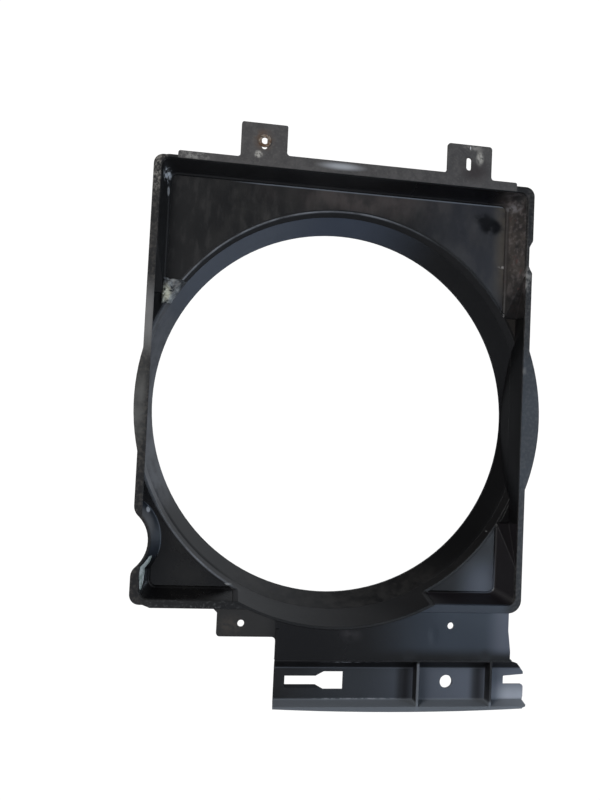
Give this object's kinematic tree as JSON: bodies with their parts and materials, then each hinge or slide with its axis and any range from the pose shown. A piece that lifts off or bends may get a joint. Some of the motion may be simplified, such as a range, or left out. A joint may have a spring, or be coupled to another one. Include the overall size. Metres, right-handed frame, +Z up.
{
  "type": "radiator fan shroud",
  "caption": "Rectangular radiator fan shroud with a round funnelled fan opening, slotted top tabs, side ears and a lower bracket panel with a ribbed channel.",
  "frame": {"origin": "on the fan axis, halfway along the collar of the fan opening", "axes": "+Y along the fan axis from the radiator towards the engine, so the flange faces -Y; +Z up; +X to the right seen from the radiator"},
  "size_m": [0.5208, 0.0766, 0.7268],
  "materials": {
    "black_plastic": "moulded black plastic, satin, dusty and scuffed",
    "rusty_steel": "rusty"
  },
  "bodies": {
    "root": {"front_flange": "black_plastic", "upper_walls": "black_plastic", "upper_floor": "black_plastic", "lower_left_walls": "black_plastic", "lower_left_floor": "black_plastic", "lower_right_walls": "black_plastic", "lower_right_floor": "black_plastic", "left_side_wall": "black_plastic", "right_side_wall": "black_plastic", "upper_step": "black_plastic", "lower_step": "black_plastic", "fan_ring": "black_plastic", "top_rail": "black_plastic", "lower_panel": "black_plastic", "lower_channel": "black_plastic", "upper_left_washer": "rusty_steel"}
  },
  "joints": []
}
